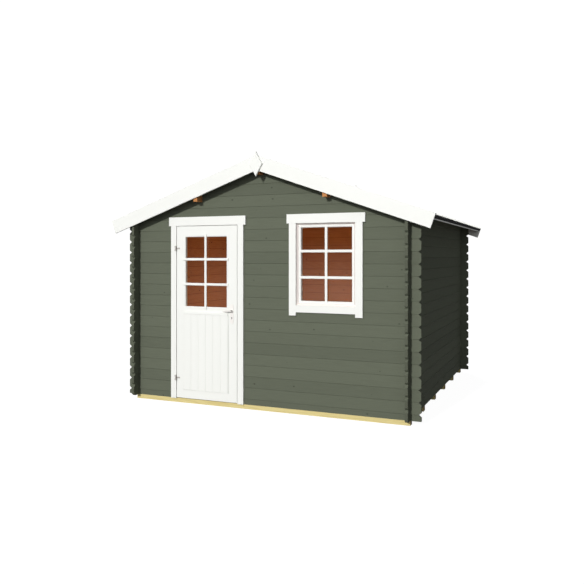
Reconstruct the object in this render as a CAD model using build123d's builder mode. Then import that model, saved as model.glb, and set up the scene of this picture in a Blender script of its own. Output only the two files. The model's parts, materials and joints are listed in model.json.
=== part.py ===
from build123d import *
from math import ceil, cos, radians, sin, tan
import os

# A small garden log cabin: interlocking wall logs on six ground beams, a low ridge roof with
# felt and white barge boards, one half-glazed door that swings outward and one fixed window.
# Millimetres. X runs to the right along the front, Y to the back and Z up from the ground.
# The origin is on the ground, at the middle of the walls' footprint.

# The cabin's plan, over the outer faces of its walls
CABIN_WIDTH = 3000.0
CABIN_DEPTH = 3000.0

# Wall logs: one log covers a course, and the side walls sit half a course higher
LOG_COVER = 114.0
LOG_THICK = 28.0
FRONT_COURSES = 16  # whole courses with crossing ends, above the half log at the bottom
CROWN_LENGTH = 100.0  # how far a log's end stands past the wall it crosses
CROWN_CUT_LENGTH = 25.0
CROWN_CUT_HEIGHT = 21.0
TONGUE_WIDTH = 11.0
TONGUE_HEIGHT = 10.0
TONGUE_CLEARANCE = 0.5
JOINT_CHAMFER = 3.5  # the V along the outer face where two logs meet
LAP_CLEARANCE = 0.3  # each side of a crossing log in its notch

# Ground beams and floor
BEAM_COUNT = 6
BEAM_WIDTH = 70.0
BEAM_HEIGHT = 45.0
FLOOR_THICK = 18.0
FLOOR_CLEARANCE = 0.3  # from the floor's edge to the walls

# Roof
ROOF_ANGLE = 19.4
SIDE_BEVEL = 9.2  # how far a side wall's outer face is planed down to meet the roof
EAVE_OVERHANG = 240.0  # from a side wall to the outer face of the felt
ROOF_OVERHANG = 100.0  # past the front wall and past the back wall
ROOF_BOARD_THICK = 16.0
FELT_THICK = 3.0
FELT_TURN_DOWN = 32.0
EAVE_BATTEN_THICK = 18.0
EAVE_BATTEN_HEIGHT = 22.0
PURLIN_WIDTH = 45.0
PURLIN_DEPTH = 140.0
PURLIN_FROM_WALL = 793.0  # from a side wall's outer face to the middle of the purlin near it
PURLIN_SEAT = 0.2  # between a purlin and the roof boards
PURLIN_CLEARANCE = 0.3

# Barge boards, the strips over their top edges, and the ornament at the ridge
BARGE_HEIGHT = 125.0
BARGE_THICK = 18.0
COVER_THICK = 17.0
COVER_WIDTH = 42.0
MITRE_GAP = 0.3
FINIAL_WIDTH = 136.0
FINIAL_HEIGHT = 248.0
FINIAL_ABOVE_RIDGE = 71.0  # from the underside of the roof at the ridge to the top point
FINIAL_THICK = 18.0
FINIAL_BEVEL = 3.0

# Doorway, door frame and trims
DOOR_CENTRE = -626.0
DOOR_CLEAR_WIDTH = 728.0  # between the jambs
DOOR_SETTLING_GAP = 30.0  # left above the frame for the logs to settle
JAMB_THICK = 34.0
JAMB_DEPTH = 70.0
STOP_WIDTH = 14.0
FRAME_FIT = 4.0  # between a frame and the ends of the logs
THRESHOLD_HEIGHT = 26.0
TRIM_WIDTH = 65.0
TRIM_THICK = 18.0
DOOR_HEAD_TRIM_HEIGHT = 91.0
HEAD_TRIM_OVERHANG = 25.0
TRIM_JOINT = 0.3

# Door leaf
HINGE_GAP = 5.0
LOCK_GAP = 7.0
LEAF_TOP_GAP = 5.0
LEAF_BOTTOM_GAP = 9.0
LEAF_RECESS = 4.0  # behind the front of the trims
LEAF_THICK = 40.0
STOP_GAP = 5.0
HINGE_STILE = 90.0
LOCK_STILE = 102.0
TOP_RAIL = 95.0
LOCK_RAIL_BOTTOM = 966.0
LOCK_RAIL_TOP = 1000.0
BOTTOM_RAIL = 93.0
PANEL_BOARDS = 6
PANEL_THICK = 20.0
PANEL_PROUD = 6.0  # how far the boarding stands in front of the leaf's face
PANEL_GROOVE = 3.0
PANEL_FIT = 0.3
GLASS_THICK = 4.0

# Hinges, each of three knuckles on one pin
LOWER_HINGE = 209.0  # from the leaf's bottom to the middle of the hinge
UPPER_HINGE = 232.0  # from the leaf's top
PIN_SET = 1.0  # the pin's axis, outside the clear face of the jamb
KNUCKLE_RADIUS = 8.0
KNUCKLE_LENGTH = 18.0
KNUCKLE_GAP = 0.5
PIN_RADIUS = 4.0
PIN_CLEARANCE = 0.05
HINGE_ARM_LENGTH = 38.0
HINGE_ARM_HEIGHT = 16.0
HINGE_ARM_THICK = 2.5
POST_ARM_LENGTH = 18.0

# Lock and handles
LEVER_HEIGHT = 989.0
LEVER_FROM_EDGE = 58.0  # from the leaf's lock edge to the lever's axis
PLATE_WIDTH = 40.0
PLATE_HEIGHT = 198.0
PLATE_THICK = 3.0
PLATE_ABOVE_LEVER = 65.0
NECK_RADIUS = 8.5
NECK_LENGTH = 34.0
NECK_CLEARANCE = 0.5
NECK_CAP = 0.8  # how far the neck's end stands past the lever
SPINDLE_RADIUS = 4.5
SPINDLE_BORE_RADIUS = 11.0
LEVER_RADIUS = 8.0
LEVER_LENGTH = 80.0
LEVER_DROOP = 6.0  # degrees below level, towards the lever's tip
KEYHOLE_BELOW = 76.0
KEYHOLE_WIDTH = 9.0
KEYHOLE_HEIGHT = 22.0
FOREND_WIDTH = 20.0
FOREND_HEIGHT = 190.0
FOREND_THICK = 2.5
FOREND_BELOW_LEVER = 38.0
STRIKE_HEIGHT = 150.0
LOCK_SET = 2.0  # from the wall's outer face to the strike plate's edge

# Window
WINDOW_CENTRE = 680.0
WINDOW_CLEAR_WIDTH = 604.0
COURSES_BELOW_WINDOW = 8
WINDOW_SETTLING_GAP = 28.0
WINDOW_FRAME_THICK = 34.0
WINDOW_FRAME_DEPTH = 72.0
SILL_THICK = 51.0
SASH_GAP = 3.0
SASH_WIDTH = 40.0
SASH_THICK = 34.0
SASH_SET = 24.0  # behind the wall's outer face
WINDOW_TRIM_WIDTH = 72.0
WINDOW_HEAD_TRIM_HEIGHT = 89.0
WINDOW_BOTTOM_TRIM_HEIGHT = 68.0
SIDE_TRIM_DROP = 32.0  # below the bottom trim

# Worked out from the sizes above
FRONT_FACE = -CABIN_DEPTH / 2
SLOPE = tan(radians(ROOF_ANGLE))
HALF_COVER = LOG_COVER / 2
LAP_DEPTH = LOG_COVER / 4
FIRST_FULL_COURSE = BEAM_HEIGHT + HALF_COVER
EAVE_COURSE_TOP = FIRST_FULL_COURSE + FRONT_COURSES * LOG_COVER
SIDE_COURSES = FRONT_COURSES + 1
SIDE_WALL_TOP = BEAM_HEIGHT + SIDE_COURSES * LOG_COVER
ROOF_UNDERSIDE_RIDGE = SIDE_WALL_TOP - SIDE_BEVEL + SLOPE * CABIN_WIDTH / 2
GABLE_PEAK = ROOF_UNDERSIDE_RIDGE - SLOPE * PURLIN_WIDTH / 2
GABLE_COURSES = ceil((GABLE_PEAK - EAVE_COURSE_TOP) / LOG_COVER)
ROOF_HALF_WIDTH = CABIN_WIDTH / 2 + EAVE_OVERHANG
SIDE_PURLIN_X = CABIN_WIDTH / 2 - PURLIN_FROM_WALL
FINIAL_TOP = ROOF_UNDERSIDE_RIDGE + FINIAL_ABOVE_RIDGE
CROSSING_ON_X = CABIN_WIDTH / 2 - LOG_THICK / 2
CROSSING_ON_Y = CABIN_DEPTH / 2 - LOG_THICK / 2
NOTCH_WIDTH = LOG_THICK + 2 * LAP_CLEARANCE
VERGE_FRONT = FRONT_FACE - ROOF_OVERHANG
DOOR_HEAD = EAVE_COURSE_TOP - DOOR_SETTLING_GAP - JAMB_THICK
FRAME_OPENING_LEFT = DOOR_CENTRE - DOOR_CLEAR_WIDTH / 2 - JAMB_THICK
FRAME_OPENING_RIGHT = DOOR_CENTRE + DOOR_CLEAR_WIDTH / 2 + JAMB_THICK
CLEAR_LEFT = DOOR_CENTRE - DOOR_CLEAR_WIDTH / 2
CLEAR_RIGHT = DOOR_CENTRE + DOOR_CLEAR_WIDTH / 2
TRIM_FRONT = FRONT_FACE - TRIM_THICK
LEAF_FRONT = TRIM_FRONT + LEAF_RECESS
LEAF_BACK = LEAF_FRONT + LEAF_THICK
LEAF_LEFT = CLEAR_LEFT + HINGE_GAP
LEAF_RIGHT = CLEAR_RIGHT - LOCK_GAP
LEAF_BOTTOM = BEAM_HEIGHT + LEAF_BOTTOM_GAP
LEAF_TOP = DOOR_HEAD - LEAF_TOP_GAP
HINGE_HEIGHTS = (LEAF_BOTTOM + LOWER_HINGE, LEAF_TOP - UPPER_HINGE)
LEVER_X = LEAF_RIGHT - LEVER_FROM_EDGE
LOCK_Y = FRONT_FACE + LOCK_SET + FOREND_WIDTH / 2
HINGE_PIVOT_X = CLEAR_LEFT - PIN_SET
HINGE_PIVOT_Y = TRIM_FRONT - KNUCKLE_RADIUS - KNUCKLE_GAP
WINDOW_LEFT = WINDOW_CENTRE - WINDOW_CLEAR_WIDTH / 2
WINDOW_RIGHT = WINDOW_CENTRE + WINDOW_CLEAR_WIDTH / 2
WINDOW_OPENING_BOTTOM = FIRST_FULL_COURSE + COURSES_BELOW_WINDOW * LOG_COVER
WINDOW_SILL = WINDOW_OPENING_BOTTOM + SILL_THICK
WINDOW_HEAD = EAVE_COURSE_TOP - WINDOW_SETTLING_GAP - WINDOW_FRAME_THICK

# Each wall has a plane across its logs: x runs inward from the outer face, y up, z along the wall
FRONT = Plane(origin=(0, -CABIN_DEPTH / 2, 0), x_dir=(0, 1, 0), z_dir=(1, 0, 0))
RIGHT = Plane(origin=(CABIN_WIDTH / 2, 0, 0), x_dir=(-1, 0, 0), z_dir=(0, 1, 0))

os.makedirs("parts", exist_ok=True)


def save(piece, label):
    piece.label = label
    export_step(piece, f"parts/{label}.step")


def underside_at(x):
    """Height of the roof boards' underside at a distance from the ridge."""
    return ROOF_UNDERSIDE_RIDGE - SLOPE * abs(x)


def face_plane(wall):
    """The wall's outer face: x along the wall, y up, z outward."""
    return Plane(origin=wall.origin, x_dir=wall.z_dir, z_dir=-wall.x_dir)


def log_section(bottom, top, sawn_below=False):
    """A log's outline: a ridge on top, a groove below, and chamfers along the outer face."""
    middle = LOG_THICK / 2
    tongue = TONGUE_WIDTH / 2
    groove = tongue + TONGUE_CLEARANCE
    below = [
        (0, bottom + JOINT_CHAMFER),
        (JOINT_CHAMFER, bottom),
        (middle - groove, bottom),
        (middle, bottom + TONGUE_HEIGHT + TONGUE_CLEARANCE),
        (middle + groove, bottom),
    ]
    return ([(0, bottom)] if sawn_below else below) + [
        (LOG_THICK, bottom),
        (LOG_THICK, top),
        (middle + tongue, top),
        (middle, top + TONGUE_HEIGHT),
        (middle - tongue, top),
        (JOINT_CHAMFER, top),
        (0, top - JOINT_CHAMFER),
    ]


def crown_cut(end, edge, side):
    """The wedge sawn off a log's end, at its top edge (side 1) or its bottom edge (side -1)."""
    reach = TONGUE_HEIGHT + 2
    sign = 1 if end > 0 else -1
    return [
        (end - sign * CROWN_CUT_LENGTH, edge),
        (end, edge - side * CROWN_CUT_HEIGHT),
        (end + sign * reach, edge - side * CROWN_CUT_HEIGHT),
        (end + sign * reach, edge + side * reach),
        (end - sign * CROWN_CUT_LENGTH, edge + side * reach),
    ]


def wall_log(wall, half_length, crossing, bottom=0.0, sawn_below=False):
    """One crossing log, lapped top and bottom over the logs of the walls at its two ends."""
    top = LOG_COVER
    edges = [top] if sawn_below else [top, bottom]
    with BuildPart() as log:
        with BuildSketch(wall.offset(-half_length)):
            with BuildLine():
                Polyline(*log_section(bottom, top, sawn_below), close=True)
            make_face()
        extrude(amount=2 * half_length)
        # notches, a quarter of a log deep, where the other walls' logs cross
        for place in (-crossing, crossing):
            with BuildSketch(wall.offset(place - NOTCH_WIDTH / 2)):
                with Locations(*[(LOG_THICK / 2, edge) for edge in edges]):
                    Rectangle(2 * LOG_THICK, 2 * LAP_DEPTH)
            extrude(amount=NOTCH_WIDTH, mode=Mode.SUBTRACT)
        # sawn ends
        with BuildSketch(face_plane(wall)):
            for end in (-half_length, half_length):
                for edge, side in zip(edges, (1, -1)):
                    with BuildLine():
                        Polyline(*crown_cut(end, edge, side), close=True)
                    make_face()
        extrude(amount=2 * LOG_THICK, both=True, mode=Mode.SUBTRACT)
    return log.part


def roof_cutter(half_width, y_low, y_high):
    """Everything above the roof boards' underside."""
    with BuildPart(mode=Mode.PRIVATE) as cutter:
        with BuildSketch(Plane.XZ.offset(-y_high)):
            with BuildLine():
                Polyline(
                    (-half_width, underside_at(half_width)),
                    (0, ROOF_UNDERSIDE_RIDGE),
                    (half_width, underside_at(half_width)),
                    (half_width, ROOF_UNDERSIDE_RIDGE + LOG_COVER * 2),
                    (-half_width, ROOF_UNDERSIDE_RIDGE + LOG_COVER * 2),
                    close=True,
                )
            make_face()
        extrude(amount=y_high - y_low)
    return cutter.part


def purlin_sockets(y_low, y_high):
    """The three slots that the purlins pass through in a gable."""
    width = PURLIN_WIDTH + 2 * PURLIN_CLEARANCE
    with BuildPart(mode=Mode.PRIVATE) as sockets:
        with BuildSketch(Plane.XZ.offset(-y_high)):
            for x in (-SIDE_PURLIN_X, 0, SIDE_PURLIN_X):
                bottom = purlin_bottom(x)
                with Locations((x, (bottom + ROOF_UNDERSIDE_RIDGE + LOG_COVER) / 2)):
                    Rectangle(width, ROOF_UNDERSIDE_RIDGE + LOG_COVER - bottom)
        extrude(amount=y_high - y_low)
    return sockets.part


def purlin_bottom(x):
    return underside_at(abs(x) + PURLIN_WIDTH / 2) - PURLIN_DEPTH


def block(x_range, y_range, z_range):
    """A plain box between two corners."""
    lows, highs = zip(x_range, y_range, z_range)
    size = [high - low for low, high in zip(lows, highs)]
    middle = [(high + low) / 2 for low, high in zip(lows, highs)]
    return Pos(*middle) * Box(*size, mode=Mode.PRIVATE)


# The logs of each wall are two nodes, every other course, so that no two logs in a node touch
long_log = wall_log(FRONT, CABIN_WIDTH / 2 + CROWN_LENGTH, CROSSING_ON_X)
half_log = wall_log(
    FRONT, CABIN_WIDTH / 2 + CROWN_LENGTH, CROSSING_ON_X, HALF_COVER, sawn_below=True
)

wall_band = (-CABIN_DEPTH / 2 - 1, -CABIN_DEPTH / 2 + LOG_THICK + 1)
door_hole = block(
    (FRAME_OPENING_LEFT - FRAME_FIT, FRAME_OPENING_RIGHT + FRAME_FIT),
    wall_band,
    (BEAM_HEIGHT - 1, EAVE_COURSE_TOP),
)
window_hole = block(
    (WINDOW_LEFT - WINDOW_FRAME_THICK - FRAME_FIT, WINDOW_RIGHT + WINDOW_FRAME_THICK + FRAME_FIT),
    wall_band,
    (WINDOW_OPENING_BOTTOM, EAVE_COURSE_TOP),
)
gable_roof = roof_cutter(CABIN_WIDTH, *wall_band)
gable_sockets = purlin_sockets(*wall_band)
# the top course has no tongue where no gable log stands on it
gable_half = CABIN_WIDTH / 2 - LOG_THICK - FLOOR_CLEARANCE
bare_crowns = [
    block(
        (side * gable_half - CABIN_WIDTH * (side < 0), side * gable_half + CABIN_WIDTH * (side > 0)),
        wall_band,
        (EAVE_COURSE_TOP, EAVE_COURSE_TOP + LOG_COVER),
    )
    for side in (-1, 1)
]


def gable_log(course):
    """A log above the eaves, with square ends inside the side walls."""
    bottom = EAVE_COURSE_TOP + course * LOG_COVER
    with BuildPart() as log:
        with BuildSketch(FRONT.offset(-gable_half)):
            with BuildLine():
                Polyline(*log_section(bottom, bottom + LOG_COVER), close=True)
            make_face()
        extrude(amount=2 * gable_half)
        add(gable_roof, mode=Mode.SUBTRACT)
        add(gable_sockets, mode=Mode.SUBTRACT)
    return log.part


def gable_end_wall(odd, openings):
    """Every other log of the front wall, or of the back wall before it is turned round."""
    with BuildPart() as logs:
        for course in range(FRONT_COURSES + 1):
            if course % 2 == odd:
                with Locations((0, 0, BEAM_HEIGHT + (course - 0.5) * LOG_COVER)):
                    add(half_log if course == 0 else long_log)
        for cut in bare_crowns + openings:
            add(cut, mode=Mode.SUBTRACT)
        for course in range(GABLE_COURSES):
            if (FRONT_COURSES + 1 + course) % 2 == odd:
                add(gable_log(course))
    return logs.part


for odd, name in ((0, "even"), (1, "odd")):
    save(gable_end_wall(odd, [door_hole, window_hole]), f"front_logs_{name}")
    save(Rot(0, 0, 180) * gable_end_wall(odd, []), f"back_logs_{name}")

side_log = wall_log(RIGHT, CABIN_DEPTH / 2 + CROWN_LENGTH, CROSSING_ON_Y)
eave_roof = roof_cutter(CABIN_WIDTH, -CABIN_DEPTH, CABIN_DEPTH)


def side_wall(odd):
    """Every other log of the right wall, bevelled to the roof at the top."""
    with BuildPart() as logs:
        for course in range(SIDE_COURSES):
            if course % 2 == odd:
                with Locations((0, 0, BEAM_HEIGHT + course * LOG_COVER)):
                    add(side_log)
        add(eave_roof, mode=Mode.SUBTRACT)
    return logs.part


for odd, name in ((0, "even"), (1, "odd")):
    logs = side_wall(odd)
    save(logs, f"right_logs_{name}")
    save(Rot(0, 0, 180) * logs, f"left_logs_{name}")

# Six beams on the ground, from side to side, the outer two level with the wall faces
beam_pitch = (CABIN_DEPTH - BEAM_WIDTH) / (BEAM_COUNT - 1)
with BuildPart() as beams:
    with BuildSketch():
        with GridLocations(1, beam_pitch, 1, BEAM_COUNT):
            Rectangle(CABIN_WIDTH, BEAM_WIDTH)
    extrude(amount=BEAM_HEIGHT)
save(beams.part, "floor_beams")

# Floor boards as one deck, cut back round the door frame
with BuildPart() as deck:
    with BuildSketch(Plane.XY.offset(BEAM_HEIGHT)):
        Rectangle(
            CABIN_WIDTH - 2 * (LOG_THICK + FLOOR_CLEARANCE),
            CABIN_DEPTH - 2 * (LOG_THICK + FLOOR_CLEARANCE),
        )
        with Locations((DOOR_CENTRE, FRONT_FACE)):
            Rectangle(
                FRAME_OPENING_RIGHT - FRAME_OPENING_LEFT + 2 * FLOOR_CLEARANCE,
                2 * (JAMB_DEPTH + FLOOR_CLEARANCE),
                mode=Mode.SUBTRACT,
            )
    extrude(amount=FLOOR_THICK)
save(deck.part, "floor_deck")


def purlin(x):
    """A purlin that runs through both gables, its top planed to the roof."""
    low = x - PURLIN_WIDTH / 2
    high = x + PURLIN_WIDTH / 2
    corners = (high, 0, low) if x == 0 else (high, low)
    top = [(corner, underside_at(corner) - PURLIN_SEAT) for corner in corners]
    with BuildPart() as piece:
        with BuildSketch(Plane.XZ.offset(VERGE_FRONT)):
            with BuildLine():
                Polyline((low, purlin_bottom(x)), (high, purlin_bottom(x)), *top, close=True)
            make_face()
        extrude(amount=-2 * VERGE_FRONT)
    return piece.part


save(purlin(0), "ridge_purlin")
save(Compound([purlin(-SIDE_PURLIN_X), purlin(SIDE_PURLIN_X)]), "side_purlins")

# The roof's layers are drawn in the plane of the right slope: x runs down it, y is square to it
down = (cos(radians(ROOF_ANGLE)), 0, -sin(radians(ROOF_ANGLE)))
SLOPE_FRONT = Plane(origin=(0, VERGE_FRONT, ROOF_UNDERSIDE_RIDGE), x_dir=down, z_dir=(0, -1, 0))
board_end = (ROOF_HALF_WIDTH - FELT_THICK - EAVE_BATTEN_THICK) / cos(radians(ROOF_ANGLE))
batten_end = board_end + EAVE_BATTEN_THICK
felt_end = batten_end + FELT_THICK


def ridge_line(height):
    """How far along the slope the ridge's vertical mitre lies, at a height square to it."""
    return -height * tan(radians(ROOF_ANGLE)) + MITRE_GAP


def slope_piece(outline, thickness_y, start=0.0):
    """A piece of the right slope: an outline across it, carried from the front to the back."""
    with BuildPart() as piece:
        with BuildSketch(SLOPE_FRONT.offset(-start)):
            with BuildLine():
                Polyline(*outline, close=True)
            make_face()
        extrude(amount=-thickness_y)
    return piece.part


def both_slopes(piece, name):
    save(piece, f"{name}_right")
    save(mirror(piece, about=Plane.YZ), f"{name}_left")


roof_length = CABIN_DEPTH + 2 * ROOF_OVERHANG
board_top = ROOF_BOARD_THICK
felt_top = board_top + FELT_THICK
boards = slope_piece(
    [
        (ridge_line(0), 0),
        (board_end, 0),
        (board_end, board_top),
        (ridge_line(board_top), board_top),
    ],
    roof_length,
)
both_slopes(boards, "roof_boards")

felt = slope_piece(
    [
        (ridge_line(board_top), board_top),
        (batten_end, board_top),
        (batten_end, felt_top - FELT_TURN_DOWN),
        (felt_end, felt_top - FELT_TURN_DOWN),
        (felt_end, felt_top),
        (ridge_line(felt_top), felt_top),
    ],
    roof_length,
)
both_slopes(felt, "roof_felt")

batten = slope_piece(
    [
        (board_end, board_top - EAVE_BATTEN_HEIGHT - BARGE_THICK),
        (batten_end, board_top - EAVE_BATTEN_HEIGHT - BARGE_THICK),
        (batten_end, board_top),
        (board_end, board_top),
    ],
    roof_length,
)
save(Compound([batten, mirror(batten, about=Plane.YZ)]), "eave_battens")


def front_and_back(piece, name):
    """The same piece at the front, and turned half round for the back."""
    save(piece, f"{name}_front")
    save(Rot(0, 0, 180) * piece, f"{name}_back")


# Barge boards cover the ends of the roof; their tops are level with the felt
barge = slope_piece(
    [
        (ridge_line(felt_top - BARGE_HEIGHT), felt_top - BARGE_HEIGHT),
        (felt_end, felt_top - BARGE_HEIGHT),
        (felt_end, felt_top),
        (ridge_line(felt_top), felt_top),
    ],
    BARGE_THICK,
    start=-BARGE_THICK,
)
front_and_back(barge, "barge_right")
front_and_back(mirror(barge, about=Plane.YZ), "barge_left")

cover = slope_piece(
    [
        (ridge_line(felt_top), felt_top),
        (felt_end, felt_top),
        (felt_end, felt_top + COVER_THICK),
        (ridge_line(felt_top + COVER_THICK), felt_top + COVER_THICK),
    ],
    COVER_WIDTH,
    start=-BARGE_THICK,
)
front_and_back(Compound([cover, mirror(cover, about=Plane.YZ)]), "verge_strips")

with BuildPart() as finial:
    with BuildSketch(Plane.XZ.offset(-(VERGE_FRONT - BARGE_THICK))):
        with BuildLine():
            Polyline(
                (0, FINIAL_TOP),
                (FINIAL_WIDTH / 2, FINIAL_TOP - FINIAL_HEIGHT / 2),
                (0, FINIAL_TOP - FINIAL_HEIGHT),
                (-FINIAL_WIDTH / 2, FINIAL_TOP - FINIAL_HEIGHT / 2),
                close=True,
            )
        make_face()
    extrude(amount=FINIAL_THICK)
    chamfer(finial.faces().sort_by(Axis.Y)[0].edges(), FINIAL_BEVEL)
front_and_back(finial.part, "finial")


# Door frame: two jambs and a head with a stop behind the leaf, and a low threshold
def frame_section(face, back, sign):
    """A jamb's outline in plan: the stop stands sign-ward past the clear face."""
    stop_front = LEAF_BACK + STOP_GAP
    return [
        (face - sign * JAMB_THICK, FRONT_FACE),
        (face, FRONT_FACE),
        (face, stop_front),
        (face + sign * STOP_WIDTH, stop_front),
        (face + sign * STOP_WIDTH, back),
        (face - sign * JAMB_THICK, back),
    ]


FRAME_BACK = FRONT_FACE + JAMB_DEPTH
FRAME_TOP = DOOR_HEAD + JAMB_THICK


def door_jamb(face, sign):
    with BuildPart() as jamb:
        with BuildSketch(Plane.XY.offset(BEAM_HEIGHT)):
            with BuildLine():
                Polyline(*frame_section(face, FRAME_BACK, sign), close=True)
            make_face()
        extrude(amount=DOOR_HEAD - BEAM_HEIGHT)
    return jamb


strike_low = LEVER_HEIGHT - FOREND_BELOW_LEVER - STRIKE_HEIGHT / 2
save(door_jamb(CLEAR_LEFT, 1).part, "door_jamb_left")
lock_jamb = door_jamb(CLEAR_RIGHT, -1)
with lock_jamb:
    with Locations((CLEAR_RIGHT, LOCK_Y, strike_low + STRIKE_HEIGHT / 2)):
        Box(
            2 * (FOREND_THICK + PANEL_FIT),
            FOREND_WIDTH + 2 * PANEL_FIT,
            STRIKE_HEIGHT + 2 * PANEL_FIT,
            mode=Mode.SUBTRACT,
        )
save(lock_jamb.part, "door_jamb_right")

with BuildPart() as strike:
    with BuildSketch(Plane.YZ.offset(CLEAR_RIGHT)):
        with Locations((LOCK_Y, strike_low + STRIKE_HEIGHT / 2)):
            Rectangle(FOREND_WIDTH, STRIKE_HEIGHT)
            with Locations((0, FOREND_BELOW_LEVER)):
                Rectangle(FOREND_WIDTH / 2, FOREND_WIDTH, mode=Mode.SUBTRACT)
            with Locations((0, -FOREND_BELOW_LEVER)):
                Rectangle(FOREND_WIDTH / 2, 2 * FOREND_WIDTH, mode=Mode.SUBTRACT)
    extrude(amount=FOREND_THICK)
save(strike.part, "strike_plate")

with BuildPart() as head:
    stop_front = LEAF_BACK + STOP_GAP
    with BuildSketch(Plane.YZ.offset(CLEAR_LEFT - JAMB_THICK)):
        with BuildLine():
            Polyline(
                (FRONT_FACE, DOOR_HEAD),
                (FRAME_BACK, DOOR_HEAD),
                (FRAME_BACK, FRAME_TOP),
                (FRONT_FACE, FRAME_TOP),
                close=True,
            )
        make_face()
    extrude(amount=DOOR_CLEAR_WIDTH + 2 * JAMB_THICK)
    with BuildSketch(Plane.YZ.offset(CLEAR_LEFT + STOP_WIDTH + PANEL_FIT)):
        with Locations(((stop_front + FRAME_BACK) / 2, DOOR_HEAD - STOP_WIDTH / 2)):
            Rectangle(FRAME_BACK - stop_front, STOP_WIDTH)
    extrude(amount=DOOR_CLEAR_WIDTH - 2 * (STOP_WIDTH + PANEL_FIT))
save(head.part, "door_frame_head")

with BuildPart() as threshold:
    with BuildSketch(Plane.YZ.offset(CLEAR_LEFT + STOP_WIDTH + PANEL_FIT)):
        with BuildLine():
            Polyline(
                (stop_front, BEAM_HEIGHT),
                (FRAME_BACK, BEAM_HEIGHT),
                (FRAME_BACK, BEAM_HEIGHT + THRESHOLD_HEIGHT),
                (stop_front, BEAM_HEIGHT + THRESHOLD_HEIGHT),
                close=True,
            )
        make_face()
    extrude(amount=DOOR_CLEAR_WIDTH - 2 * (STOP_WIDTH + PANEL_FIT))
save(threshold.part, "door_threshold")


def trim_board(left, right, bottom, top):
    """A flat board on the wall's outer face."""
    with BuildPart() as board:
        with BuildSketch(Plane.XZ.offset(-FRONT_FACE)):
            with Locations(((left + right) / 2, (bottom + top) / 2)):
                Rectangle(right - left, top - bottom)
        extrude(amount=TRIM_THICK)
    return board.part


side_trim_top = DOOR_HEAD - TRIM_JOINT
save(
    Compound(
        [
            trim_board(CLEAR_LEFT - TRIM_WIDTH, CLEAR_LEFT, BEAM_HEIGHT, side_trim_top),
            trim_board(CLEAR_RIGHT, CLEAR_RIGHT + TRIM_WIDTH, BEAM_HEIGHT, side_trim_top),
            trim_board(
                CLEAR_LEFT - TRIM_WIDTH - HEAD_TRIM_OVERHANG,
                CLEAR_RIGHT + TRIM_WIDTH + HEAD_TRIM_OVERHANG,
                DOOR_HEAD,
                DOOR_HEAD + DOOR_HEAD_TRIM_HEIGHT,
            ),
        ]
    ),
    "door_trims",
)

# Door leaf: two stiles, three rails, a boarded panel below and glass above
LEAF_Y = (LEAF_FRONT, LEAF_BACK)
STILE_LEFT_IN = LEAF_LEFT + HINGE_STILE
STILE_RIGHT_IN = LEAF_RIGHT - LOCK_STILE
GLASS_BOTTOM = LOCK_RAIL_TOP
GLASS_TOP = LEAF_TOP - TOP_RAIL

with BuildPart() as hinge_stile:
    add(block((LEAF_LEFT, STILE_LEFT_IN), LEAF_Y, (LEAF_BOTTOM, LEAF_TOP)))
save(hinge_stile.part, "door_stile_left")

forend_middle = LEVER_HEIGHT - FOREND_BELOW_LEVER
with BuildPart() as lock_stile:
    add(block((STILE_RIGHT_IN, LEAF_RIGHT), LEAF_Y, (LEAF_BOTTOM, LEAF_TOP)))
    with Locations((LEAF_RIGHT, LOCK_Y, forend_middle)):
        Box(
            2 * (FOREND_THICK + PANEL_FIT),
            FOREND_WIDTH + 2 * PANEL_FIT,
            FOREND_HEIGHT + 2 * PANEL_FIT,
            mode=Mode.SUBTRACT,
        )
    with Locations(Location((LEVER_X, LOCK_Y, LEVER_HEIGHT), (90, 0, 0))):
        Cylinder(SPINDLE_BORE_RADIUS, 2 * LEAF_THICK, mode=Mode.SUBTRACT)
save(lock_stile.part, "door_stile_right")

with BuildPart() as forend:
    add(
        block(
            (LEAF_RIGHT - FOREND_THICK, LEAF_RIGHT),
            (LOCK_Y - FOREND_WIDTH / 2, LOCK_Y + FOREND_WIDTH / 2),
            (forend_middle - FOREND_HEIGHT / 2, forend_middle + FOREND_HEIGHT / 2),
        )
    )
save(forend.part, "lock_forend")

rail_x = (STILE_LEFT_IN, STILE_RIGHT_IN)
rails = [
    block(rail_x, LEAF_Y, (LEAF_BOTTOM, LEAF_BOTTOM + BOTTOM_RAIL)),
    block(rail_x, LEAF_Y, (LOCK_RAIL_BOTTOM, LOCK_RAIL_TOP)),
    block(rail_x, LEAF_Y, (GLASS_TOP, LEAF_TOP)),
]
save(Compound(rails), "door_rails")


def boarding_outline(width, thick):
    """Tongued boards side by side, seen from above: a V between each two on the front."""
    pitch = width / PANEL_BOARDS
    points = [(0, thick), (0, 0)]
    for board in range(1, PANEL_BOARDS):
        points.append((board * pitch - PANEL_GROOVE, 0))
        points.append((board * pitch, PANEL_GROOVE))
        points.append((board * pitch + PANEL_GROOVE, 0))
    return points + [(width, 0), (width, thick)]


panel_bottom = LEAF_BOTTOM + BOTTOM_RAIL + PANEL_FIT
panel_top = LOCK_RAIL_BOTTOM - PANEL_FIT
with BuildPart() as panel:
    corner = (STILE_LEFT_IN + PANEL_FIT, LEAF_FRONT - PANEL_PROUD, panel_bottom)
    with BuildSketch(Plane(origin=corner)):
        with BuildLine():
            Polyline(
                *boarding_outline(rail_x[1] - rail_x[0] - 2 * PANEL_FIT, PANEL_THICK),
                close=True,
            )
        make_face()
    extrude(amount=panel_top - panel_bottom)
save(panel.part, "door_panel")

with BuildPart() as door_glass:
    glass_y = LEAF_FRONT + LEAF_THICK / 2
    add(
        block(
            (rail_x[0] + PANEL_FIT, rail_x[1] - PANEL_FIT),
            (glass_y - GLASS_THICK / 2, glass_y + GLASS_THICK / 2),
            (GLASS_BOTTOM + PANEL_FIT, GLASS_TOP - PANEL_FIT),
        )
    )
save(door_glass.part, "door_glass")


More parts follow.
